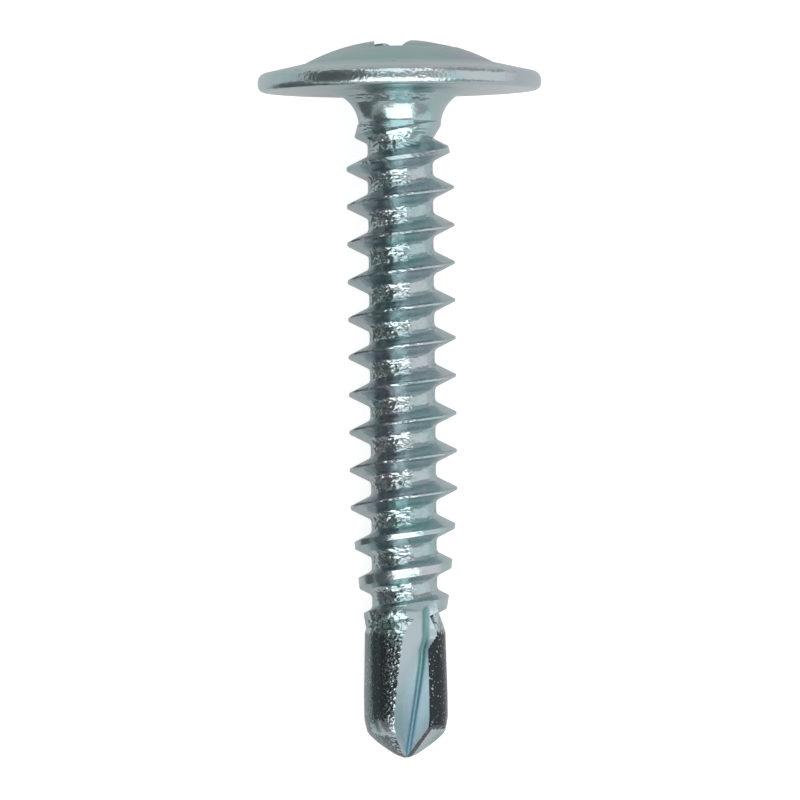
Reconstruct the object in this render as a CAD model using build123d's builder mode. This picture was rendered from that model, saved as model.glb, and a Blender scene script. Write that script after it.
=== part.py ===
"""Self drilling screw: wafer head with a cross recess, coarse tapping thread, two-fluted drill point.

Millimetres. The screw is shaped upright on the Z axis, with the bearing face under its head at z = 0,
the head above it and the point below, and its front is -Y. It is then laid on its side, the way it
comes to rest: on the rim of its head and on the two edges of the flute that faces down. Its head
then lies towards +Y and its front faces up. Small rounds are worked as narrow bevel bands.
"""

import os
from math import atan2, ceil, cos, degrees, hypot, radians, sin, tan

from build123d import *

# overall
screw_length = 24.8  # bearing face to the tip
pitch = 1.4

# head
head_radius = 5.28
flange_height = 0.70  # bearing face to where the flange's slope meets the rim
flange_slope = 12.5  # degrees, up towards the dome
rim_top_round = 0.32
rim_bottom_round = 0.24
dome_radius = 3.55  # where the dome meets the flange
dome_height = 1.92  # bearing face to the top of the dome
dome_blend = 0.30  # width of the bevel band between dome and flange
dome_blend_slope = 20.5  # degrees
rim_bands = 2  # bevel bands on each round of the rim

# cross recess
recess_reach = 2.40  # axis to the end of a wing, at the top of the dome
recess_width = 1.40  # across a wing, at the top of the dome
recess_depth = 2.35  # below the top of the dome
recess_taper = 26.5  # degrees, the ends of the wings
recess_draft = 3.0  # degrees, the sides of the wings
recess_corner = 0.20  # bevel between two wings
recess_mouth = 0.20  # how far the recess is drawn above the dome
recess_turn = -24.5  # degrees round the axis from the front to the first wing

# shank
neck_radius = 1.53
neck_round = 1.30
neck_band_count = 3
groove_run_in = 0.55
core_radius = 1.21

# thread
crest_radius = 2.03
flank_angle = 25.7  # degrees, each flank from square to the axis
root_rise = 0.22  # height of the bevel between the core and a flank
root_spread = 0.20  # width of that bevel along the screw
thread_bite = 0.06  # how deep the ridge is set into the core
head_gap = 0.80  # bearing face to the end of the ridge
crest_run_in = 2.00  # over which the crest reaches its full height
crest_fade = 4.90  # over which the crest drops towards the drill
fade_radius = 1.66  # crest at the last turn
fade_gap = 0.50  # top of the drill's shoulder to the crest at the last turn
thread_overrun = 0.21  # ridge below the top of the drill body
ridge_sink = 0.08  # how far under the surface the crest starts and ends
limit_clear = 0.10  # how far the crest's limit is drawn past the crest and above the ridge's foot

# drill point: rises are measured from the tip
drill_length = 4.65  # tip to the shoulder under the thread
drill_shoulder = 0.93
drill_top_radius = 1.50
drill_radius = 1.555
drill_full_rise = 2.35  # where the drill body reaches its full radius
point_rise = 1.55  # where the point begins
point_upper_radius = 1.45
point_upper_rise = 1.00
point_middle_radius = 1.175
point_middle_rise = 0.67
point_lower_radius = 0.62
point_lower_rise = 0.22
tip_radius = 0.15

# flutes
rake_side = 24.5  # degrees round the axis from the middle of the flute to its cutting edge
wide_side_top = 14.6  # degrees to the other edge, where the flute is at its shallowest
crease_round = 0.16
crease_top_radius = 1.20  # axis to the crease in the shallow stretch
crease_start_radius = 1.17  # where the flute begins to deepen
crease_middle_radius = 1.10
crease_middle_rise = 3.60
crease_lower_radius = 0.87
crease_lower_rise = 2.60
web_radius = 0.04  # axis to the crease, at the tip
flare_start_rise = 4.00  # where the flute's cutting side begins to flare
flare_rise = 4.50  # where it is fully flared
flare_crease_side = 29.5  # degrees to the crease there
flare_side = 63.5  # degrees to where the flared side leaves the cutter
run_out_rise = 5.45  # where the flute begins to leave the thread
run_out_side = 8.0  # degrees to its far edge there
run_out_span = 0.60  # from there to where it has left the thread
run_out_top_radius = 1.95
run_out_top_side = -15.0
run_out_near_side = 40.0

# cutting lips
lip_rise = 1.19  # tip to the outer end of the lip
heel_radius = 1.05  # where the facet behind the lip meets the point again
heel_rise = 0.69
heel_turn = 56.0  # degrees round the axis from the lip to there


def point_at(radius, turn):
    """A place in plan, at an angle from the front (-Y) towards +X."""
    return (radius * sin(radians(turn)), -radius * cos(radians(turn)))


def bevel_bands(centre, radius, start, end, count):
    """Corner points of a round worked as bevel bands: an arc in outline from one angle to another."""
    steps = [start + (end - start) * number / count for number in range(count + 1)]
    return [
        (centre[0] + radius * cos(radians(step)), centre[1] + radius * sin(radians(step))) for step in steps
    ]


# levels along the axis
tip_level = -screw_length
drill_top = tip_level + drill_length
core_end = drill_top + drill_shoulder
core_start = -neck_round - groove_run_in
point_top = tip_level + point_rise

# body of revolution: the half outline, from the top of the dome down to the tip
quarter = 90
rim_top_centre = (head_radius - rim_top_round, flange_height - rim_top_round)
rim_top_bands = bevel_bands(rim_top_centre, rim_top_round, quarter - flange_slope, 0, rim_bands)
flange_rise = (rim_top_bands[0][0] - dome_radius) * tan(radians(flange_slope))
flange_foot = (dome_radius + dome_blend / 2, rim_top_bands[0][1] + flange_rise)
dome_foot = (dome_radius - dome_blend / 2, flange_foot[1] + dome_blend * tan(radians(dome_blend_slope)))
dome_drop = dome_height - dome_foot[1]
dome_sphere = (dome_foot[0] ** 2 + dome_drop**2) / (2 * dome_drop)
rim_bottom_centre = (head_radius - rim_bottom_round, rim_bottom_round)
rim_bottom_bands = bevel_bands(rim_bottom_centre, rim_bottom_round, 0, -quarter, rim_bands)
neck_centre = (neck_radius + neck_round, -neck_round)
neck_bands = bevel_bands(neck_centre, neck_round, quarter, 2 * quarter, neck_band_count)

with BuildPart() as body:
    with BuildSketch(Plane.XZ):
        with BuildLine():
            RadiusArc((0, dome_height), dome_foot, dome_sphere)
            Polyline(
                dome_foot,
                flange_foot,
                *rim_top_bands,
                *rim_bottom_bands,
                *neck_bands,
                (core_radius, core_start),
                (core_radius, core_end),
                (drill_top_radius, drill_top),
                (drill_radius, tip_level + drill_full_rise),
                (drill_radius, point_top),
                (point_upper_radius, tip_level + point_upper_rise),
                (point_middle_radius, tip_level + point_middle_rise),
                (point_lower_radius, tip_level + point_lower_rise),
                (tip_radius, tip_level),
                (0, tip_level),
                (0, dome_height),
            )
        make_face()
    revolve(axis=Axis.Z)

# thread: a ridge swept along a helix, cut back at both ends where its crest rises and fades
ridge_start = drill_top - thread_overrun
ridge_turns = ceil((-head_gap - ridge_start) / pitch)
flank_foot = core_radius + root_rise
flank_foot_half = (crest_radius - flank_foot) * tan(radians(flank_angle))
ridge_bottom = core_radius - thread_bite
ridge_bottom_half = flank_foot_half + root_spread * (root_rise + thread_bite) / root_rise

with BuildPart() as one_turn:
    with BuildLine() as helix:
        Helix(pitch=pitch, height=pitch, radius=core_radius, center=(0, 0, ridge_start))
    with BuildSketch(Plane((0, 0, ridge_start), x_dir=(1, 0, 0), z_dir=(0, -1, 0))):
        with BuildLine():
            Polyline(
                (crest_radius, 0),
                (flank_foot, flank_foot_half),
                (ridge_bottom, ridge_bottom_half),
                (ridge_bottom, -ridge_bottom_half),
                (flank_foot, -flank_foot_half),
                close=True,
            )
        make_face()
    sweep(path=helix.wires()[0], is_frenet=True)

# the crest's limit is a cone at each end, drawn on past the crest so that it cuts in cleanly
crest_clear = crest_radius + limit_clear
ridge_tail = neck_radius - ridge_sink
run_in_clear = -head_gap - crest_run_in * (crest_clear - ridge_tail) / (crest_radius - ridge_tail)
fade_low = core_end + fade_gap
fade_span = drill_top + crest_fade - fade_low
fade_clear = fade_low + fade_span * (crest_clear - fade_radius) / (crest_radius - fade_radius)
ridge_floor = ridge_start + limit_clear
with BuildPart() as crest_limit:
    with BuildSketch(Plane.XZ):
        with BuildLine():
            Polyline(
                (0, -head_gap),
                (ridge_tail, -head_gap),
                (crest_clear, run_in_clear),
                (crest_clear, fade_clear),
                (fade_radius, fade_low),
                (drill_top_radius - ridge_sink, ridge_floor),
                (0, ridge_floor),
                close=True,
            )
        make_face()
    revolve(axis=Axis.Z)


def thread_turn(number):
    """One turn of the thread, counted up from the drill and cut back to the crest's limit."""
    lowest = ridge_start + number * pitch - pitch / 2
    highest = lowest + 2 * pitch
    with BuildPart() as turn:
        with Locations((0, 0, number * pitch)):
            add(one_turn.part)
        if lowest < fade_clear or highest > run_in_clear:
            add(crest_limit.part, mode=Mode.INTERSECT)
    return turn.part


thread_turns = [thread_turn(number) for number in range(ridge_turns)]


def wide_side(rise):
    """Degrees from the middle of the flute to its far edge, which opens evenly towards the point."""
    widening = (rake_side - wide_side_top) / (flare_rise - point_rise)
    return wide_side_top + (flare_rise - rise) * widening


flute_reach = 2 * drill_radius


def flute_section(rise, crease, far_side, crease_side=rake_side, near_side=rake_side):
    """One section of the flute's cutter: crease is its distance from the axis, far_side its other edge."""
    root = point_at(crease, crease_side)
    edge = point_at(drill_radius, -far_side)
    span = hypot(edge[0] - root[0], edge[1] - root[1])
    far = (
        root[0] + flute_reach * (edge[0] - root[0]) / span,
        root[1] + flute_reach * (edge[1] - root[1]) / span,
    )
    with BuildSketch(Plane.XY.offset(tip_level + rise)) as section:
        with BuildLine():
            Polyline(root, point_at(flute_reach, near_side), far, close=True)
        make_face()
        fillet(section.vertices().sort_by_distance(root)[0], radius=crease_round)
    return section.sketch.faces()[0]


flared = (flare_crease_side, flare_side)
flute_sections = [
    flute_section(
        run_out_rise + run_out_span, run_out_top_radius, run_out_top_side, flare_crease_side, run_out_near_side
    ),
    flute_section(run_out_rise, crease_top_radius, run_out_side, *flared),
    flute_section(flare_rise, crease_top_radius, wide_side(flare_rise), *flared),
    flute_section(flare_start_rise, crease_start_radius, wide_side(flare_start_rise)),
    flute_section(crease_middle_rise, crease_middle_radius, wide_side(crease_middle_rise)),
    flute_section(crease_lower_rise, crease_lower_radius, wide_side(crease_lower_rise)),
    flute_section(0, web_radius, wide_side(0)),
]
with BuildPart() as flute_cutter:
    loft(flute_sections, ruled=True)

recess_top = dome_height + recess_mouth
recess_top_half = recess_width / 2 + recess_mouth * tan(radians(recess_draft))
recess_top_reach = recess_reach + recess_mouth * tan(radians(recess_taper))
recess_full_depth = recess_mouth + recess_depth
recess_bottom_reach = recess_top_reach - recess_full_depth * tan(radians(recess_taper))
with BuildPart() as recess_cutter:
    with BuildSketch(Plane.XY.offset(recess_top)) as cross:
        Rectangle(2 * head_radius, 2 * recess_top_half)
        Rectangle(2 * recess_top_half, 2 * head_radius)
        chamfer(cross.vertices().sort_by_distance((0, 0))[:4], length=recess_corner)
    extrude(amount=-recess_full_depth, taper=recess_draft)
    with BuildSketch(Plane.XZ):
        with BuildLine():
            Polyline(
                (0, recess_top),
                (recess_top_reach, recess_top),
                (recess_bottom_reach, recess_top - recess_full_depth),
                (0, recess_top - recess_full_depth),
                close=True,
            )
        make_face()
    revolve(axis=Axis.Z, mode=Mode.INTERSECT)

# a facet behind each cutting lip: its plane runs through the tip, the outer end of the lip and the heel
tip = Vector(0, 0, tip_level)
lip = Vector(*point_at(drill_radius, rake_side), tip_level + lip_rise) - tip
heel = Vector(*point_at(heel_radius, rake_side + heel_turn), tip_level + heel_rise) - tip
facet_size = 2 * flute_reach
with BuildPart() as facet_cutter:
    with BuildSketch(Plane(origin=tip, x_dir=lip, z_dir=heel.cross(lip))):
        Rectangle(facet_size, facet_size)
    extrude(amount=drill_radius)

with BuildPart() as upright:
    add(body.part)
    add(thread_turns)
    for turn in (0, 180):
        add(flute_cutter.part, rotation=(0, 0, turn), mode=Mode.SUBTRACT)
        add(facet_cutter.part, rotation=(0, 0, turn), mode=Mode.SUBTRACT)
    add(recess_cutter.part, rotation=(0, 0, recess_turn), mode=Mode.SUBTRACT)

# laid down: the axis leans by the fall from the rim to the edges of the flute underneath
rest_radius = drill_radius * cos(radians(rake_side))
rest_fall = head_radius - rest_radius
rest_span = rim_bottom_round - point_top
lean = degrees(atan2(rest_fall, rest_span))
with BuildPart() as leaning:
    add(upright.part, rotation=(lean - 90, 0, 0))
extent = leaning.part.bounding_box()
with BuildPart() as screw:
    with Locations((-extent.center().X, -extent.center().Y, -extent.min.Z)):
        add(leaning.part)
screw.part.label = "screw"

os.makedirs("parts", exist_ok=True)
export_step(screw.part, "parts/screw.step")
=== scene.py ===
from math import asin, atan2, ceil, cos, degrees, hypot, pi, radians, sin, tan

import bmesh
import bpy
from mathutils import Matrix, Vector


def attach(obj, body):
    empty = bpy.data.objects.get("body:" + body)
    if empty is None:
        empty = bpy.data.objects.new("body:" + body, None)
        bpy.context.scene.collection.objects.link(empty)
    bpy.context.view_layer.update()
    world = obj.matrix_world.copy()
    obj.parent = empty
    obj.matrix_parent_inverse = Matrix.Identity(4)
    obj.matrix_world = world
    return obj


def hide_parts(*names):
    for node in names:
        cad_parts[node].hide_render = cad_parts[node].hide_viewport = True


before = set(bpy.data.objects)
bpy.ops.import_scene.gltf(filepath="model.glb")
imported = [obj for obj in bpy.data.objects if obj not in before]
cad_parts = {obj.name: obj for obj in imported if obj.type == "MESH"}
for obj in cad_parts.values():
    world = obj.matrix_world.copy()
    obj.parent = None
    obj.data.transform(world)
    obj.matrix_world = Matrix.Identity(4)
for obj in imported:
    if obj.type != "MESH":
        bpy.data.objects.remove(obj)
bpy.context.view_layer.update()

# The screw is turned and cut upright, one unit to the millimetre, with its bearing face at z = 0 and its
# front towards -Y. Then it is laid down on rim and point, and brought to metres. Rises are measured from the
# tip, and sides and turns are degrees round the axis, from the front towards +X.

# head
HEAD_RADIUS = 5.28
RIM_TOP = 0.70
RIM_TOP_ROUND = 0.32
RIM_BOTTOM_ROUND = 0.24
FLANGE_SLOPE = 12.5  # degrees, up towards the dome
DOME_RADIUS = 3.55
DOME_HEIGHT = 1.92
NECK_RADIUS = 1.53
NECK_ROUND = 1.30
NECK_RUN_IN = 0.55  # from the foot of the neck's round down to the core

# cross recess
RECESS_TURN = -24.5
RECESS_TOP = 2.12  # the cutter stands a little over the dome
RECESS_FOOT = -0.43
WING_TOP = 0.71  # half the width of a wing, at each end of the cutter
WING_FOOT = 0.577
WING_REACH = 3.6  # before the cone ends the wings
WING_CORNER = 0.30
WING_END_TOP = 2.50  # axis to the end of a wing, at each end of the cutter
WING_END_FOOT = 1.228

# thread
PITCH = 1.4
CORE_RADIUS = 1.21
CORE_COVER = 0.02  # how deep the turned core lies under the thread's root
CREST_RADIUS = 2.00
CREST_WIDTH = 0.07
FLANK_ANGLE = 25.7  # degrees, each flank from square to the axis
FLANK_TOP = 0.10  # first edge on a flank, measured in from the crest
ROOT_ROUND = 0.26
HEAD_GAP = 0.80  # bearing face to the first turn
FIRST_CREST = 1.45  # crest where the thread begins
CREST_RUN_IN = 2.0  # over which the crest reaches its full height
CREST_FADE = 4.9  # top of the drill body to where the crest begins to drop
LAST_CREST = 1.66  # crest at the last turn
LAST_CREST_GAP = 0.50  # core's end to that turn
END_CREST = 1.40  # crest where the thread ends
END_CLEAR = 0.10  # the crest's limit stops short of the rod's foot

# drill point
TIP = -24.8
DRILL_TOP = TIP + 4.65
CORE_END = DRILL_TOP + 0.93
RIDGE_START = DRILL_TOP - 0.21
DRILL_RADIUS = 1.555
POINT_RISE = 1.55
DRILL_OUTLINE = [(1.43, 4.90), (1.50, 4.65), (DRILL_RADIUS, 2.35), (DRILL_RADIUS, POINT_RISE)]  # radius, rise
DRILL_OUTLINE += [(1.54, 1.40), (1.505, 1.22), (1.45, 1.00), (1.38, 0.885), (1.285, 0.78), (1.175, 0.67)]
DRILL_OUTLINE += [(1.065, 0.565), (0.935, 0.455), (0.775, 0.335), (0.62, 0.22), (0.47, 0.115)]
DRILL_OUTLINE += [(0.15, 0.0), (0, 0)]

# flutes
RAKE_SIDE = 24.5  # middle of the flute to its cutting edge
WIDE_SIDE_TOP = 14.6  # middle of the flute to its other edge, at FLARE_RISE
WIDENING = 3.36  # by how many degrees that edge moves away for each millimetre towards the tip
CREASE_TOP = 1.20  # axis to the crease, above its bend
CREASE_SLOPE = 0.313  # how fast the crease leaves the axis below the bend, up from the tip
CREASE_BEND = 0.16  # softness of the bend: twice its depth
CREASE_ROUND = 0.08
CREASE_STEPS = 6
WEB_RADIUS = 0.04  # axis to the crease, at the tip
FLARE_START = 4.0  # from here the flute swings over to the flare's sides
FLARE_RISE = 4.5  # and here it has them
FLARE_CREASE_SIDE = 29.5
FLARE_SIDE = 63.5
CUTTER_REACH = 3.2  # out to the place that the cutting edge's wall is aimed at
CUTTER_WALL = 3  # length of each wall of the flute's cutter

# facets behind the cutting lips, and the burrs
LIP_RISE = 1.19
HEEL_RADIUS = 1.05
HEEL_TURN = 56  # from the lip
HEEL_RISE = 0.69
FACET_SIZE = 6
BURR_HALF_SIZE = (0.25, 0.13, 0.46)
BURR_RADIUS = 1.35
BURR_SIDE = 50
BURR_RISE = 5.0
BURR_LEAN = -6  # degrees

# what counts as one place, and as a sliver
ONE_PLACE = 1e-5
SLIVER = 0.001

# lying down, and the view
# by how much the head stands out beyond the edges of the flute that faces down
HEAD_STANDS_OUT = HEAD_RADIUS - DRILL_RADIUS * cos(radians(RAKE_SIDE))
LEAN = degrees(atan2(HEAD_STANDS_OUT, RIM_BOTTOM_ROUND - TIP - POINT_RISE))
BEARING_PLACE = (0, 0.0112464, 0.005171)  # centre of the bearing face, lying down, in metres
VIEW_TURN = -9.4  # degrees round the screw from its front to the side that the camera sees
VIEW_DISTANCE = 340
VIEW_LEVEL = -17
VIEW_ASIDE = -0.10
VIEW_ROLL = 0.605  # degrees
AIM_LEVEL = -11.5
FRAME_WIDTH = 29.76  # what the lens takes in across, at the screw
SENSOR_WIDTH = 36

# staging, in metres
TABLE_SIZE = 3
DARK_CARD_PLACE = (-0.0448, -0.0035, 0.0003)
DARK_CARD_SIZE = (0.08, 0.025, 1)


def deselect():
    if bpy.context.object and bpy.context.object.mode != "OBJECT":
        bpy.ops.object.mode_set(mode="OBJECT")
    bpy.ops.object.select_all(action="DESELECT")


def take(piece):
    deselect()
    piece.select_set(True)
    bpy.context.view_layer.objects.active = piece


def edit(piece):
    take(piece)
    bpy.ops.object.mode_set(mode="EDIT")
    bpy.ops.mesh.select_mode(type="VERT")
    bpy.ops.mesh.select_all(action="SELECT")


def tidy_mesh():
    """Merges doubles and turns every face outwards."""
    bpy.ops.mesh.select_all(action="SELECT")
    bpy.ops.mesh.remove_doubles(threshold=ONE_PLACE)
    bpy.ops.mesh.select_all(action="SELECT")
    bpy.ops.mesh.normals_make_consistent(inside=False)
    bpy.ops.object.mode_set(mode="OBJECT")


def draw(name, points, closed=False):
    """A wire drawn from one vertex, extruded from place to place."""
    deselect()
    bpy.ops.mesh.primitive_plane_add(size=0.01, location=points[0])
    piece = bpy.context.object
    piece.name = name
    bpy.ops.object.transform_apply(location=True, rotation=True, scale=True)
    edit(piece)
    bpy.ops.mesh.merge(type="CENTER")
    stops = list(points[1:]) + ([points[0]] if closed else [])
    here = Vector(points[0])
    for stop in stops:
        bpy.ops.mesh.extrude_region_move(TRANSFORM_OT_translate={"value": Vector(stop) - here})
        here = Vector(stop)
    bpy.ops.mesh.select_all(action="SELECT")
    bpy.ops.mesh.remove_doubles(threshold=ONE_PLACE)
    bpy.ops.object.mode_set(mode="OBJECT")
    return piece


def arc(centre, radius, start, end, steps):
    """Places on a round of an outline, from one angle to another in degrees."""
    angles = [radians(start + (end - start) * n / steps) for n in range(steps + 1)]
    return [(centre[0] + radius * cos(a), centre[1] + radius * sin(a)) for a in angles]


def turned(name, outline, steps=160):
    """A turned solid: half an outline, as radius and level, spun round the upright axis."""
    piece = draw(name, [(radius, 0, level) for radius, level in outline])
    edit(piece)
    bpy.ops.mesh.spin(steps=steps, angle=radians(360), center=(0, 0, 0), axis=(0, 0, 1))
    tidy_mesh()
    return piece


def lofted(name, sections):
    """A solid through closed sections, bridged in order and filled at both ends."""
    loops = [draw(name, section, closed=True) for section in sections]
    deselect()
    for loop in loops:
        loop.select_set(True)
    bpy.context.view_layer.objects.active = loops[0]
    bpy.ops.object.join()
    piece = bpy.context.object
    edit(piece)
    bpy.ops.mesh.bridge_edge_loops()
    bpy.ops.mesh.select_all(action="DESELECT")
    bpy.ops.mesh.select_non_manifold()
    bpy.ops.mesh.fill_holes(sides=0)
    tidy_mesh()
    return piece


def combine(piece, other, operation):
    """Joins, cuts or keeps what two pieces share. What the other piece leaves keeps its own finish."""
    take(piece)
    bpy.ops.object.modifier_add(type="BOOLEAN")
    cut = piece.modifiers[-1]
    cut.operation = operation
    cut.solver = "MANIFOLD"
    cut.material_mode = "TRANSFER"
    cut.object = other
    bpy.ops.object.modifier_apply(modifier=cut.name)
    take(other)
    bpy.ops.object.delete()


def turned_copy(piece, turn):
    """A copy with its own mesh, turned about the screw's axis."""
    take(piece)
    bpy.ops.object.duplicate()
    twin = bpy.context.object
    twin.rotation_euler = (0, 0, radians(turn))
    bpy.ops.object.transform_apply(location=True, rotation=True, scale=True)
    return twin


def place_at(radius, turn, level):
    """A place at a turn from the front (-Y) towards +X."""
    return (radius * sin(radians(turn)), -radius * cos(radians(turn)), level)


# materials
MATH, VECTOR, RANGE, MIX = "ShaderNodeMath", "ShaderNodeVectorMath", "ShaderNodeMapRange", "ShaderNodeMix"
NOISE, BUMP, SPLIT = "ShaderNodeTexNoise", "ShaderNodeBump", "ShaderNodeSeparateXYZ"
MAPPING, PLACE, LIGHT_PATH = "ShaderNodeMapping", "ShaderNodeTexCoord", "ShaderNodeLightPath"


def linear(hex_colour):
    """An sRGB hex colour as linear RGBA."""
    parts = [int(hex_colour[n : n + 2], 16) / 255 for n in (1, 3, 5)]
    return [c / 12.92 if c <= 0.04045 else ((c + 0.055) / 1.055) ** 2.4 for c in parts] + [1.0]


def node(owner, kind, settings, output=0):
    """Adds a node, sets what it is given, links another node's output, and returns one of its own."""
    added = owner.node_tree.nodes.new(kind)
    for name, value in settings.items():
        if isinstance(value, bpy.types.NodeSocket):
            owner.node_tree.links.new(value, added.inputs[name])
        elif isinstance(name, str) and hasattr(added, name):
            setattr(added, name, value)
        else:
            added.inputs[name].default_value = value
    return added.outputs[output]


def new_material(name):
    material = bpy.data.materials.new(name)
    material.use_nodes = True
    return material, material.node_tree.nodes["Principled BSDF"]


# Object coordinates are brought back to the upright screw, in millimetres
UPRIGHT = {"vector_type": "TEXTURE", "Location": BEARING_PLACE, "Rotation": (radians(LEAN - 90), 0, 0)}
UPRIGHT["Scale"] = (0.001, 0.001, 0.001)

# a range turned over, so that it falls from 1 to 0
FALL = {"To Min": 1, "To Max": 0}

# Bright zinc plating with a clear blue passivate, over steel that was headed, rolled and pinched to shape. It
# is a soft mirror, broken up where the rolling dies left the root and crests rough. The rough spots are 0.1 to
# 0.4 mm.
zinc, surface = new_material("bright_zinc_plating")
place = node(zinc, MAPPING, {**UPRIGHT, "Vector": node(zinc, PLACE, {}, "Object")})
level = node(zinc, SPLIT, {"Vector": place}, "Z")
flat = node(zinc, VECTOR, {"operation": "MULTIPLY", 0: place, 1: (1, 1, 0)})
radius = node(zinc, VECTOR, {"operation": "LENGTH", 0: flat}, "Value")
around = node(zinc, VECTOR, {"operation": "NORMALIZE", 0: flat})

# Where each kind of surface is, from 0 to 1: the core between the turns, the crests, the edge of the head, the
# start of the thread under the neck
inner = node(zinc, RANGE, {"Value": radius, "From Min": 1.24, "From Max": 1.40, **FALL})
above_drill = node(zinc, RANGE, {"Value": level, "From Min": CORE_END, "From Max": CORE_END + 0.3})
on_core = node(zinc, MATH, {"operation": "MULTIPLY", 0: inner, 1: above_drill})
outer = node(zinc, RANGE, {"Value": radius, "From Min": 1.85, "From Max": 1.97, "To Max": 0.6})
shank = node(zinc, RANGE, {"Value": radius, "From Min": 2.1, "From Max": 2.2, **FALL})
on_crest = node(zinc, MATH, {"operation": "MULTIPLY", 0: outer, 1: shank})
out_rim = node(zinc, RANGE, {"Value": radius, "From Min": 4.9, "From Max": 5.15})
up_rim = node(zinc, RANGE, {"Value": level, "From Min": 0.40, "From Max": 0.56, "To Min": 0.05, "To Max": 1})
on_rim = node(zinc, MATH, {"operation": "MULTIPLY", 0: out_rim, 1: up_rim})
start_head = node(zinc, RANGE, {"Value": level, "From Min": -1.35, "From Max": -1.15, **FALL})
start_foot = node(zinc, RANGE, {"Value": level, "From Min": -2.4, "From Max": -2.1})
on_start = node(zinc, MATH, {"operation": "MULTIPLY", 0: start_head, 1: start_foot})

# the drill body's lands up to a ragged edge, and the crumpled metal above them
ragged = node(zinc, NOISE, {"Vector": place, "Scale": 4.0})
ragged = node(zinc, MATH, {"operation": "MULTIPLY_ADD", 0: ragged, 1: 0.3, 2: level})
on_land = {"Value": ragged, "From Min": DRILL_TOP + 0.12, "From Max": DRILL_TOP + 0.20, **FALL}
on_land = node(zinc, RANGE, on_land)
run_out_foot = node(zinc, RANGE, {"Value": level, "From Min": DRILL_TOP - 0.1, "From Max": DRILL_TOP + 0.1})
run_out_head = {"Value": level, "From Min": CORE_END - 0.2, "From Max": CORE_END + 0.1, **FALL}
run_out_head = node(zinc, RANGE, run_out_head)
on_run_out = node(zinc, MATH, {"operation": "MULTIPLY", 0: run_out_foot, 1: run_out_head})

# sectors round the axis, as the cosine of the turn away from each one's middle. The lands' painted dark
# reflection lifts to painted light on the left side towards -100 degrees, is fullest about 55 degrees, and
# behind that stretch gives way to painted light on the other land
left = node(zinc, VECTOR, {"operation": "DOT_PRODUCT", 0: around, 1: place_at(1, -100, 0)}, "Value")
left_painted_light = node(zinc, RANGE, {"Value": left, "From Min": 0.2, "From Max": 0.98, "To Min": 0.08, "To Max": 0.45})
left_land = node(zinc, RANGE, {"Value": left, "From Min": 0.0, "From Max": 0.2})
left_painted_light = node(zinc, MATH, {"operation": "MULTIPLY", 0: left_painted_light, 1: left_land})
off_right = node(zinc, RANGE, {"Value": left, "From Min": -0.1, "From Max": 0.1})
off_left = node(zinc, MATH, {"operation": "SUBTRACT", 0: 1.0, 1: left_land})
dark = node(zinc, VECTOR, {"operation": "DOT_PRODUCT", 0: around, 1: place_at(1, 55, 0)}, "Value")
right_painted_light = node(zinc, RANGE, {"Value": dark, "From Min": 0.45, "From Max": 0.75, "To Min": 0.6, "To Max": 0})
right_painted_light = node(zinc, MATH, {"operation": "MULTIPLY", 0: right_painted_light, 1: off_left})
# painted light that lifts the lands' painted dark reflection on both sides
painted_light_land = node(zinc, MATH, {"operation": "MAXIMUM", 0: left_painted_light, 1: right_painted_light})

# the sector where the core came out smooth, and the relief face behind the lip on the right, which gets
# painted highlights
smooth = node(zinc, VECTOR, {"operation": "DOT_PRODUCT", 0: around, 1: place_at(1, 32, 0)}, "Value")
rough = node(zinc, RANGE, {"Value": smooth, "From Min": 0.86, "From Max": 0.95, "To Min": 1, "To Max": 0.2})
behind_way = place_at(1, RAKE_SIDE + 90, 0)
behind = node(zinc, VECTOR, {"operation": "DOT_PRODUCT", 0: place, 1: behind_way}, "Value")
behind = node(zinc, RANGE, {"Value": behind, "From Min": 0.26, "From Max": 0.30})
on_point = node(zinc, RANGE, {"Value": level, "From Min": TIP + 1.0, "From Max": TIP + 1.1, **FALL})
on_relief = node(zinc, MATH, {"operation": "MULTIPLY", 0: behind, 1: on_point})

# the heels of the lands beside the flutes' wide edges, and the shoulders above the point on the left side;
# both get painted highlights, as more glints on the lands
heel = node(zinc, VECTOR, {"operation": "DOT_PRODUCT", 0: around, 1: place_at(1, -24, 0)}, "Value")
heel = node(zinc, MATH, {"operation": "ABSOLUTE", 0: heel})
on_heel = node(zinc, RANGE, {"Value": heel, "From Min": 0.94, "From Max": 0.98})
shoulder_foot = node(zinc, RANGE, {"Value": level, "From Min": TIP + 0.80, "From Max": TIP + 0.95})
shoulder_head = node(zinc, RANGE, {"Value": level, "From Min": TIP + 1.25, "From Max": TIP + 1.5, **FALL})
on_shoulder = node(zinc, MATH, {"operation": "MULTIPLY", 0: shoulder_foot, 1: shoulder_head})
near_heel = node(zinc, RANGE, {"Value": heel, "From Min": 0.60, "From Max": 0.85})
near_heel = node(zinc, MATH, {"operation": "MULTIPLY", 0: near_heel, 1: off_right})
on_shoulder = node(zinc, MATH, {"operation": "MULTIPLY", 0: on_shoulder, 1: near_heel})

# the dome, fading in up the flange, and what the rolling dies left rough
on_dome = node(zinc, RANGE, {"Value": level, "From Min": 0.72, "From Max": 1.0})
rolled = node(zinc, MATH, {"operation": "MULTIPLY_ADD", 0: on_core, 1: rough, 2: on_crest})

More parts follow.
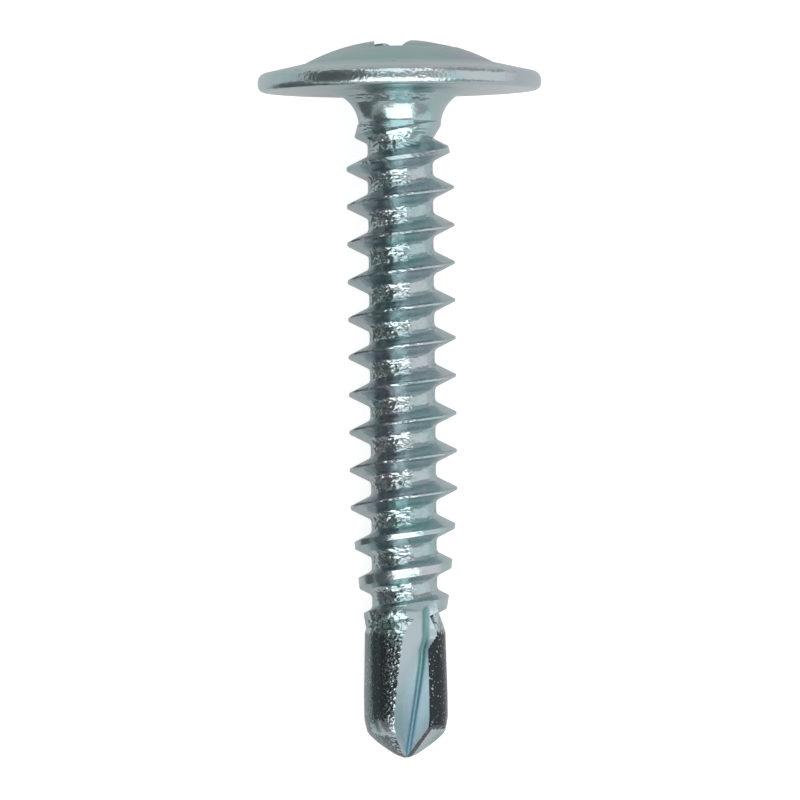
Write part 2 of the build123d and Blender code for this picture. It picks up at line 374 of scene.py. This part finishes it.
# relief: core grain of 0.3 mm drawn out round the axis, rim streaks of 0.4 mm, fine grain of 0.1 mm and
# crumpled folds of 0.4 mm at the run-out
core_place = node(zinc, VECTOR, {"operation": "MULTIPLY", 0: place, 1: (1, 1, 1.6)})
core_grain = node(zinc, NOISE, {"Vector": core_place, "Scale": 3.6, "Detail": 1.0})
core_depth = node(zinc, RANGE, {"Value": rolled, "To Min": 0.13, "To Max": 1.0})
core_relief = node(zinc, MATH, {"operation": "MULTIPLY", 0: core_grain, 1: core_depth})
rim_place = node(zinc, VECTOR, {"operation": "MULTIPLY", 0: place, 1: (1, 1, 3)})
rim_grain = node(zinc, NOISE, {"Vector": rim_place, "Scale": 2.6, "Detail": 1.0})
streaked = node(zinc, MATH, {"operation": "ADD", 0: on_rim, 1: on_start})
rim_relief = node(zinc, MATH, {"operation": "MULTIPLY", 0: rim_grain, 1: streaked})
fine_grain = node(zinc, NOISE, {"Vector": place, "Scale": 9.0, "Detail": 1.0})
land_heel = node(zinc, MATH, {"operation": "MULTIPLY", 0: on_land, 1: on_heel})
fine_depth = node(zinc, RANGE, {"Value": on_land, "To Min": 0.03, "To Max": 0.14})
fine_depth = node(zinc, MATH, {"operation": "MULTIPLY_ADD", 0: land_heel, 1: 0.30, 2: fine_depth})
fine_depth = node(zinc, MATH, {"operation": "MULTIPLY_ADD", 0: on_shoulder, 1: -0.30, 2: fine_depth})
fine_depth = node(zinc, MATH, {"operation": "MAXIMUM", 0: fine_depth, 1: 0.06})
fine_depth = node(zinc, MATH, {"operation": "MULTIPLY_ADD", 0: out_rim, 1: 0.10, 2: fine_depth})
fine_relief = node(zinc, MATH, {"operation": "MULTIPLY", 0: fine_grain, 1: fine_depth})
crumple = node(zinc, NOISE, {"Vector": place, "Scale": 2.6, "Detail": 1.5})
crumple_relief = node(zinc, MATH, {"operation": "MULTIPLY", 0: crumple, 1: on_run_out})
relief = node(zinc, MATH, {"operation": "ADD", 0: core_relief, 1: fine_relief})
relief = node(zinc, MATH, {"operation": "MULTIPLY_ADD", 0: rim_relief, 1: 0.5, 2: relief})
relief = node(zinc, MATH, {"operation": "MULTIPLY_ADD", 0: crumple_relief, 1: 1.2, 2: relief})
bump = node(zinc, BUMP, {"Height": relief, "Distance": 0.00009})

# colour: two tints of the passivate in clouds of 1.7 mm, darker on the dome and greyer towards its right
tint = node(zinc, NOISE, {"Vector": place, "Scale": 0.6})
tint = node(zinc, RANGE, {"Value": tint, "From Min": 0.35, "From Max": 0.65})
colour = node(zinc, MIX, {"data_type": "RGBA", 0: tint, 6: linear("#aec6c7"), 7: linear("#c0c8cd")}, 2)
dome_side = node(zinc, SPLIT, {"Vector": place}, "X")
dome_side = node(zinc, RANGE, {"Value": dome_side, "From Min": 0.3, "From Max": 2.6})
dome_colour = {"data_type": "RGBA", 0: dome_side, 6: linear("#97b5b4"), 7: linear("#96a1aa")}
dome_colour = node(zinc, MIX, dome_colour, 2)
colour = node(zinc, MIX, {"data_type": "RGBA", 0: on_dome, 6: colour, 7: dome_colour}, 2)

# dark pits of 0.2 mm in the core, and a single one on the flange in front of the dome
pits = node(zinc, NOISE, {"Vector": core_place, "Scale": 5.0, "Detail": 2.0})
pits = node(zinc, RANGE, {"Value": pits, "From Min": 0.50, "From Max": 0.60, "To Max": 0.35})
pits = node(zinc, MATH, {"operation": "MULTIPLY", 0: pits, 1: on_core})
pits = node(zinc, MATH, {"operation": "MULTIPLY", 0: pits, 1: rough})
colour = node(zinc, MIX, {"data_type": "RGBA", 0: pits, 6: colour, 7: linear("#4a5657")}, 2)
off_pit = node(zinc, VECTOR, {"operation": "DISTANCE", 0: place, 1: (-0.86, -3.91, 0.95)}, "Value")
on_pit = node(zinc, RANGE, {"Value": off_pit, "From Min": 0.04, "From Max": 0.09, "To Min": 0.9, "To Max": 0})
colour = node(zinc, MIX, {"data_type": "RGBA", 0: on_pit, 6: colour, 7: linear("#4a4c52")}, 2)

# painted shade: dark lines in the creases of the folds; and the lands painted dark, a painted reflection of
# dark surroundings, with painted glints (bright specks) of 0.1 mm
painted_fold_shade = node(zinc, MATH, {"operation": "SUBTRACT", 0: crumple, 1: 0.5})
painted_fold_shade = node(zinc, MATH, {"operation": "ABSOLUTE", 0: painted_fold_shade})
painted_fold_shade = node(zinc, RANGE, {"Value": painted_fold_shade, "From Min": 0.008, "From Max": 0.03, "To Min": 0.8, "To Max": 0})
painted_fold_shade = node(zinc, MATH, {"operation": "MULTIPLY", 0: painted_fold_shade, 1: on_run_out})
colour = node(zinc, MIX, {"data_type": "RGBA", 0: painted_fold_shade, 6: colour, 7: linear("#3f494b")}, 2)
painted_glints = node(zinc, NOISE, {"Vector": place, "Scale": 11.0, "Detail": 1.0})
painted_glints = node(zinc, MATH, {"operation": "MULTIPLY_ADD", 0: on_heel, 1: 0.16, 2: painted_glints})
painted_glints = node(zinc, MATH, {"operation": "MULTIPLY_ADD", 0: on_shoulder, 1: 0.45, 2: painted_glints})
painted_glints = node(zinc, MATH, {"operation": "MULTIPLY_ADD", 0: on_relief, 1: 0.5, 2: painted_glints})
# the lands' painted dark reflection, lifted by painted light and broken by painted glints
painted_dark_land = node(zinc, RANGE, {"Value": painted_glints, "From Min": 0.64, "From Max": 0.74, "To Min": 1, "To Max": 0})
painted_dark_land = node(zinc, MATH, {"operation": "SUBTRACT", "use_clamp": True, 0: painted_dark_land, 1: painted_light_land})
painted_dark_land = node(zinc, MATH, {"operation": "MULTIPLY", 0: painted_dark_land, 1: on_land})
colour = node(zinc, MIX, {"data_type": "RGBA", 0: painted_dark_land, 6: colour, 7: linear("#353b3e")}, 2)

surface.inputs["Metallic"].default_value = 1.0
surface.inputs["Roughness"].default_value = 0.24
zinc.node_tree.links.new(colour, surface.inputs["Base Color"])
zinc.node_tree.links.new(bump, surface.inputs["Normal"])

# The same plating on the walls that the pinching dies and the header's punch left matt: the flutes and the
# recess. They have a soft, even sheen. The passivate pools darker and duller along the flute's crease. The
# grain is 0.14 mm.
matt_zinc, surface = new_material("matt_zinc_plating")
place = node(matt_zinc, MAPPING, {**UPRIGHT, "Vector": node(matt_zinc, PLACE, {}, "Object")})
level = node(matt_zinc, SPLIT, {"Vector": place}, "Z")
flat = node(matt_zinc, VECTOR, {"operation": "MULTIPLY", 0: place, 1: (1, 1, 0)})
square = node(matt_zinc, VECTOR, {"operation": "DOT_PRODUCT", 0: flat, 1: flat}, "Value")

# distance from the crease, squared: r^2 - 2 r.c + c^2, where c is the crease's own place at that level
flared = {"Value": level, "From Min": TIP + FLARE_START, "From Max": TIP + FLARE_RISE}
flared = node(matt_zinc, RANGE, flared)
rake_way, flare_way = place_at(1, RAKE_SIDE, 0), place_at(1, FLARE_CREASE_SIDE, 0)
crease_way = node(matt_zinc, MIX, {"data_type": "VECTOR", 0: flared, 4: rake_way, 5: flare_way}, 1)
along = node(matt_zinc, VECTOR, {"operation": "DOT_PRODUCT", 0: flat, 1: crease_way}, "Value")
along = node(matt_zinc, MATH, {"operation": "ABSOLUTE", 0: along})
crease_foot = WEB_RADIUS - CREASE_SLOPE * TIP
crease = node(matt_zinc, MATH, {"operation": "MULTIPLY_ADD", 0: level, 1: CREASE_SLOPE, 2: crease_foot})
# (the node's bend is a sixth of its distance deep, and crease_at's is half of CREASE_BEND)
crease = {"operation": "SMOOTH_MIN", 0: crease, 1: CREASE_TOP, 2: 3 * CREASE_BEND}
crease = node(matt_zinc, MATH, crease)
product = node(matt_zinc, MATH, {"operation": "MULTIPLY", 0: along, 1: crease})
off_crease = node(matt_zinc, MATH, {"operation": "MULTIPLY_ADD", 0: product, 1: -2.0, 2: square})
off_crease = node(matt_zinc, MATH, {"operation": "MULTIPLY_ADD", 0: crease, 1: crease, 2: off_crease})

# the stripe of pooled passivate: full to 0.12 mm from the crease, gone at 0.22 mm, narrower at both ends
narrow = node(matt_zinc, RANGE, {"Value": flared, "To Min": 1, "To Max": 1.3})
off_crease = node(matt_zinc, MATH, {"operation": "MULTIPLY", 0: off_crease, 1: narrow})
tapered = {"Value": level, "From Min": TIP + 0.3, "From Max": TIP + 3.0, "To Min": 1.1}
tapered = node(matt_zinc, RANGE, tapered)
off_crease = node(matt_zinc, MATH, {"operation": "MULTIPLY", 0: off_crease, 1: tapered})
pooled = node(matt_zinc, RANGE, {"Value": off_crease, "From Min": 0.12**2, "From Max": 0.22**2, **FALL})
deep = node(matt_zinc, RANGE, {"Value": level, "From Min": TIP + 1.5, "From Max": DRILL_TOP - 1.0})
deep_colour = {"data_type": "RGBA", 0: deep, 6: linear("#7497a6"), 7: linear("#7ea1a2")}
deep_colour = node(matt_zinc, MIX, deep_colour, 2)

# the wall itself: two tints in clouds of 1.3 mm, and the grain
tint = node(matt_zinc, NOISE, {"Vector": place, "Scale": 0.8})
tint = node(matt_zinc, RANGE, {"Value": tint, "From Min": 0.35, "From Max": 0.65})
colour = node(matt_zinc, MIX, {"data_type": "RGBA", 0: tint, 6: linear("#b4cacc"), 7: linear("#bec8d0")}, 2)
colour = node(matt_zinc, MIX, {"data_type": "RGBA", 0: pooled, 6: colour, 7: deep_colour}, 2)
grain = node(matt_zinc, NOISE, {"Vector": place, "Scale": 7.0})
bump = node(matt_zinc, BUMP, {"Height": grain, "Distance": 0.000008})
dullness = node(matt_zinc, RANGE, {"Value": pooled, "To Min": 0.40, "To Max": 0.62})
surface.inputs["Metallic"].default_value = 1.0
matt_zinc.node_tree.links.new(dullness, surface.inputs["Roughness"])
matt_zinc.node_tree.links.new(colour, surface.inputs["Base Color"])
matt_zinc.node_tree.links.new(bump, surface.inputs["Normal"])


def finish(piece, material):
    piece.data.materials.clear()
    piece.data.materials.append(material)


# head, neck, core and drill body, turned as one
rim_centre = (HEAD_RADIUS - RIM_TOP_ROUND, RIM_TOP - RIM_TOP_ROUND)
rim_top = arc(rim_centre, RIM_TOP_ROUND, 90 - FLANGE_SLOPE, 0, 8)
foot_level = rim_top[0][1] + (rim_top[0][0] - DOME_RADIUS) * tan(radians(FLANGE_SLOPE))
dome_drop = DOME_HEIGHT - foot_level
dome_sphere = (DOME_RADIUS**2 + dome_drop**2) / (2 * dome_drop)
dome_edge = degrees(asin(DOME_RADIUS / dome_sphere))
dome = arc((0, DOME_HEIGHT - dome_sphere), dome_sphere, 90, 90 - dome_edge, 28)
dome[0] = (0, DOME_HEIGHT)
rim_bottom = arc((HEAD_RADIUS - RIM_BOTTOM_ROUND, RIM_BOTTOM_ROUND), RIM_BOTTOM_ROUND, 0, -90, 7)
neck = arc((NECK_RADIUS + NECK_ROUND, -NECK_ROUND), NECK_ROUND, 90, 180, 16)
core_side = CORE_RADIUS - CORE_COVER
shank = [(core_side, -NECK_ROUND - NECK_RUN_IN), (core_side, CORE_END)]
drill = [(radius, TIP + rise) for radius, rise in DRILL_OUTLINE]
screw = turned("screw_body", dome + rim_top + rim_bottom + neck + shank + drill)
finish(screw, zinc)

# threaded rod: one pitch of the thread's outline wound upwards, each end then closed to a point
lean = radians(FLANK_ANGLE)
flank_foot = CORE_RADIUS + ROOT_ROUND * (1 - sin(lean))
half_crest = CREST_WIDTH / 2
root_end = half_crest + (CREST_RADIUS - flank_foot) * tan(lean) + ROOT_ROUND * cos(lean)
root = arc((CORE_RADIUS + ROOT_ROUND, root_end), ROOT_ROUND, 180 + 90 - FLANK_ANGLE, 180, 6)
peak = CREST_RADIUS + half_crest / tan(lean)
flank = [(peak, 0), (CREST_RADIUS - FLANK_TOP, half_crest + FLANK_TOP * tan(lean))]
upper = flank + root + [(CORE_RADIUS, PITCH / 2)]
tooth = [(radius, -level) for radius, level in reversed(upper)] + upper[1:]
rod_turns = ceil((-HEAD_GAP - RIDGE_START) / PITCH) + 2
rod = draw("rod", [(radius, 0, RIDGE_START - PITCH + level) for radius, level in tooth])
take(rod)
bpy.ops.object.modifier_add(type="SCREW")
winding = rod.modifiers[-1]
winding.angle = radians(360)
winding.screw_offset = PITCH
winding.iterations = rod_turns
winding.steps = 128
winding.render_steps = 128
bpy.ops.object.modifier_apply(modifier=winding.name)
for lower in (True, False):
    edit(rod)
    bpy.ops.mesh.remove_doubles(threshold=ONE_PLACE)
    bpy.ops.mesh.select_all(action="DESELECT")
    bpy.ops.mesh.select_non_manifold()
    shape = bmesh.from_edit_mesh(rod.data)
    middle = RIDGE_START + rod_turns * PITCH / 2
    for vertex in shape.verts:
        if vertex.select and (vertex.co.z < middle) != lower:
            vertex.select_set(False)
    shape.select_flush(False)
    bmesh.update_edit_mesh(rod.data)
    bpy.ops.mesh.extrude_edges_move()
    bpy.ops.mesh.merge(type="CENTER")
    tidy_mesh()

# the crests are cut to their height, which rises under the head and fades towards the drill
limit = [(0, -HEAD_GAP), (FIRST_CREST, -HEAD_GAP), (CREST_RADIUS, -HEAD_GAP - CREST_RUN_IN)]
limit += [(CREST_RADIUS, DRILL_TOP + CREST_FADE), (LAST_CREST, CORE_END + LAST_CREST_GAP)]
limit += [(END_CREST, RIDGE_START + END_CLEAR), (0, RIDGE_START + END_CLEAR)]
crest_limit = turned("crest_limit", limit)
finish(crest_limit, zinc)
finish(rod, zinc)
combine(rod, crest_limit, "INTERSECT")
combine(screw, rod, "UNION")


# flutes: a blade with one radial side, whose crease runs in towards the tip
def crease_at(rise):
    """Distance from the axis to the crease: even at the top, then falling to the tip in a smooth bend."""
    falling = WEB_RADIUS + CREASE_SLOPE * rise
    return 0.5 * (CREASE_TOP + falling - hypot(CREASE_TOP - falling, CREASE_BEND))


def flute_section(rise, crease, wide_side, crease_side=RAKE_SIDE, near_side=RAKE_SIDE):
    """One section of the cutter: a wall to each side of the flute, with a round where they meet."""
    root = Vector(place_at(crease, crease_side, TIP + rise))
    rake = Vector(place_at(CUTTER_REACH, near_side, TIP + rise)) - root
    wide = Vector(place_at(DRILL_RADIUS, -wide_side, TIP + rise)) - root
    rake_way, wide_way = rake.normalized(), wide.normalized()
    half = rake_way.angle(wide_way) / 2
    inward = -(rake_way + wide_way).normalized()
    centre = root - inward * (CREASE_ROUND / sin(half))
    crease_line = []
    for n in range(CREASE_STEPS + 1):
        swing = (90 - degrees(half)) * (2 * n / CREASE_STEPS - 1)
        crease_line.append(centre + Matrix.Rotation(radians(swing), 3, "Z") @ inward * CREASE_ROUND)
    return [root + rake_way * CUTTER_WALL] + crease_line + [root + wide_way * CUTTER_WALL]


def wide_side_at(rise):
    """Middle of the flute to its wide edge, which opens evenly towards the tip."""
    return WIDE_SIDE_TOP + (FLARE_RISE - rise) * WIDENING


# the flute's head: rise, crease, wide side, crease side and near side
sections = [
    flute_section(6.05, 1.95, -15.0, FLARE_CREASE_SIDE, 40.0),
    flute_section(5.75, 1.45, 0.0, FLARE_CREASE_SIDE, 55.0),
    flute_section(5.45, CREASE_TOP, 8.0, FLARE_CREASE_SIDE, FLARE_SIDE),
    flute_section(4.9, CREASE_TOP, 12.0, FLARE_CREASE_SIDE, FLARE_SIDE),
]

# from there the sides swing over to the straight stretch, which ends below the tip
flare_head = flute_section(FLARE_RISE, CREASE_TOP, WIDE_SIDE_TOP, FLARE_CREASE_SIDE, FLARE_SIDE)
flare_foot = flute_section(FLARE_START, crease_at(FLARE_START), wide_side_at(FLARE_START))
for part in (0, 0.2, 0.4, 0.6, 0.8, 1):
    sections.append([head.lerp(foot, part) for head, foot in zip(flare_head, flare_foot)])
for rise in (3.6, 3.2, 2.8, 2.4, 2.0, 1.5, 1.0, 0.5, -0.1):
    sections.append(flute_section(rise, crease_at(rise), wide_side_at(rise)))
flute = lofted("flute", sections)
finish(flute, matt_zinc)
combine(screw, turned_copy(flute, 180), "DIFFERENCE")
combine(screw, flute, "DIFFERENCE")

# facets behind the cutting lips
lip = Vector(place_at(DRILL_RADIUS, RAKE_SIDE, LIP_RISE))
heel = Vector(place_at(HEEL_RADIUS, RAKE_SIDE + HEEL_TURN, HEEL_RISE))
facet_normal = heel.cross(lip).normalized()
deselect()
facet_place = Vector((0, 0, TIP)) + facet_normal * FACET_SIZE / 2
bpy.ops.mesh.primitive_cube_add(size=FACET_SIZE, location=facet_place)
facet = bpy.context.object
facet.rotation_euler = facet_normal.to_track_quat("Z", "Y").to_euler()
bpy.ops.object.transform_apply(location=True, rotation=True, scale=True)
finish(facet, zinc)
combine(screw, turned_copy(facet, 180), "DIFFERENCE")
combine(screw, facet, "DIFFERENCE")

# burrs: a lens of metal pushed up beside the head of each flute
deselect()
bpy.ops.mesh.primitive_uv_sphere_add(segments=40, ring_count=20, radius=1)
burr = bpy.context.object
edit(burr)
bpy.ops.transform.resize(value=BURR_HALF_SIZE)
bpy.ops.object.mode_set(mode="OBJECT")
burr_place = Matrix.Translation(place_at(BURR_RADIUS, BURR_SIDE, TIP + BURR_RISE))
burr_place @= Matrix.Rotation(radians(BURR_SIDE), 4, "Z")
burr.matrix_world = burr_place @ Matrix.Rotation(radians(BURR_LEAN), 4, "Y")
take(burr)
bpy.ops.object.transform_apply(location=True, rotation=True, scale=True)
finish(burr, zinc)
combine(screw, turned_copy(burr, 180), "UNION")
combine(screw, burr, "UNION")


# cross recess: a drafted cross, its wings ending on a cone
def cross_section(level, half_width):
    corner = arc((half_width + WING_CORNER, half_width + WING_CORNER), WING_CORNER, 180, 270, 5)
    quarter = [(WING_REACH, half_width)] + corner[::-1] + [(half_width, WING_REACH)]
    places = []
    for turn in (0, 90, 180, 270):
        spin = Matrix.Rotation(radians(turn + RECESS_TURN), 3, "Z")
        places += [spin @ Vector((x, y, level)) for x, y in quarter]
    return places


recess = lofted("recess", [cross_section(RECESS_TOP, WING_TOP), cross_section(RECESS_FOOT, WING_FOOT)])
middle = (0, 0, (RECESS_TOP + RECESS_FOOT) / 2)
depth = RECESS_TOP - RECESS_FOOT
deselect()
bpy.ops.mesh.primitive_cone_add(
    vertices=96, radius1=WING_END_FOOT, radius2=WING_END_TOP, depth=depth, location=middle
)
recess_end = bpy.context.object
finish(recess_end, matt_zinc)
finish(recess, matt_zinc)
combine(recess, recess_end, "INTERSECT")
combine(screw, recess, "DIFFERENCE")

# slivers that the cuts left are closed, below a thousandth of a millimetre
edit(screw)
bpy.ops.mesh.remove_doubles(threshold=SLIVER)
bpy.ops.mesh.dissolve_degenerate(threshold=SLIVER)
bpy.ops.object.mode_set(mode="OBJECT")

# laid down and brought to metres
lay_down = Matrix.Translation(BEARING_PLACE) @ Matrix.Rotation(radians(LEAN - 90), 4, "X")
lay_down @= Matrix.Scale(0.001, 4)
screw.matrix_world = lay_down
take(screw)
bpy.ops.object.transform_apply(location=True, rotation=True, scale=True)
bpy.ops.object.shade_smooth_by_angle(angle=radians(32))
screw.name = "screw_visual"
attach(screw, "root")
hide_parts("screw")

# camera: it stands off square to the axis at VIEW_LEVEL, nearer the point, and looks at AIM_LEVEL
turn = radians(VIEW_TURN)
back = Vector((sin(turn), -cos(turn), 0))
aside = Vector((cos(turn), sin(turn), 0)) * VIEW_ASIDE
eye = lay_down @ (back * VIEW_DISTANCE + Vector((0, 0, VIEW_LEVEL)) + aside)
aim = lay_down @ (Vector((0, 0, AIM_LEVEL)) + aside)
forward = (aim - eye).normalized()
sideways = forward.cross(lay_down.to_3x3() @ Vector((0, 0, 1))).normalized()
upward = sideways.cross(forward)
roll = Matrix.Rotation(radians(VIEW_ROLL), 3, forward)
sideways, upward = roll @ sideways, roll @ upward
camera = bpy.data.objects.new("camera", bpy.data.cameras.new("camera"))
bpy.context.collection.objects.link(camera)
camera.rotation_mode = "QUATERNION"
camera.location = eye
camera.rotation_quaternion = Matrix((sideways, upward, -forward)).transposed().to_quaternion()
camera.data.sensor_width = SENSOR_WIDTH
camera.data.lens = SENSOR_WIDTH * VIEW_DISTANCE / FRAME_WIDTH
camera.data.clip_start = 0.01
camera.data.clip_end = 20
bpy.context.scene.camera = camera
bpy.context.scene.view_settings.view_transform = "Standard"

# Table of white card: coated board, pressed smooth and dead matt. A glow brings it to plain white for the
# camera, with the screw's shadow still on it, and adds a little to what the plating mirrors.
deselect()
bpy.ops.mesh.primitive_plane_add(size=TABLE_SIZE, location=(0, 0, 0))
table = bpy.context.object
table.name = "table"
card, sheet = new_material("white_card")
sheet.inputs["Base Color"].default_value = linear("#b4b5b6")
sheet.inputs["Roughness"].default_value = 0.9
sheet.inputs["Emission Color"].default_value = linear("#ffffff")
seen = node(card, LIGHT_PATH, {}, "Is Camera Ray")
mirrored = node(card, LIGHT_PATH, {}, "Is Glossy Ray")
glow = node(card, MATH, {"operation": "MULTIPLY", 0: seen, 1: 0.74})
glow = node(card, MATH, {"operation": "MULTIPLY_ADD", 0: mirrored, 1: 0.20, 2: glow})
card.node_tree.links.new(glow, sheet.inputs["Emission Strength"])
table.data.materials.append(card)

# Dark card to the left, covered with grey cloth, woven and dead matt. It gives the plating something dark to
# mirror. The camera doesn't see it, and it casts no shadow.
deselect()
bpy.ops.mesh.primitive_plane_add(size=1, location=DARK_CARD_PLACE)
flag = bpy.context.object
flag.name = "dark_card"
flag.scale = DARK_CARD_SIZE
bpy.ops.object.transform_apply(location=True, rotation=True, scale=True)
dark, cloth = new_material("dark_cloth")
cloth.inputs["Base Color"].default_value = linear("#5c5f60")
cloth.inputs["Roughness"].default_value = 1.0
flag.data.materials.append(dark)
flag.visible_camera = False
flag.visible_diffuse = False
flag.visible_shadow = False


def soft_box(name, across, along, size, radiance, distance=0.5):
    """An area lamp facing the screw, at degrees to the right of the lens and degrees towards the head."""
    raised = Matrix.Rotation(radians(-along), 3, sideways) @ -forward
    way = Matrix.Rotation(radians(across), 3, upward) @ raised
    data = bpy.data.lights.new(name, "AREA")
    data.shape = "RECTANGLE"
    data.size, data.size_y = size
    data.energy = radiance * pi * size[0] * size[1]
    lamp = bpy.data.objects.new(name, data)
    bpy.context.collection.objects.link(lamp)
    lamp.location = way * distance
    lamp.rotation_mode = "QUATERNION"
    lamp.rotation_quaternion = way.to_track_quat("Z", "Y")


# lamps: one from the front and towards the point, a weak one from the right, one from beyond the head
soft_box("front_box", 0, -33, (0.64, 0.54), 2.1)
soft_box("right_box", 75, 0, (0.45, 0.90), 0.5)
soft_box("head_box", 0, 46, (0.42, 0.52), 1.15)

# the room: dim on the left, lighter to the right and towards both ends of the screw
world = bpy.data.worlds.new("studio")
bpy.context.scene.world = world
world.use_nodes = True
world.node_tree.nodes["Background"].inputs["Color"].default_value = (1, 1, 1, 1)
world.node_tree.nodes["Background"].inputs["Strength"].default_value = 1.0
way = node(world, PLACE, {}, "Generated")
rightward = node(world, VECTOR, {"operation": "DOT_PRODUCT", 0: way, 1: sideways}, "Value")
endward = node(world, VECTOR, {"operation": "DOT_PRODUCT", 0: way, 1: upward}, "Value")
endward = node(world, MATH, {"operation": "ABSOLUTE", 0: endward})
bright = node(world, MATH, {"operation": "ADD", 0: rightward, 1: endward})
bright = {"Value": bright, "From Min": -0.4, "From Max": 0.6, "To Min": 0.12, "To Max": 0.44}
bright = node(world, RANGE, bright)
world.node_tree.links.new(bright, world.node_tree.nodes["Background"].inputs["Color"])
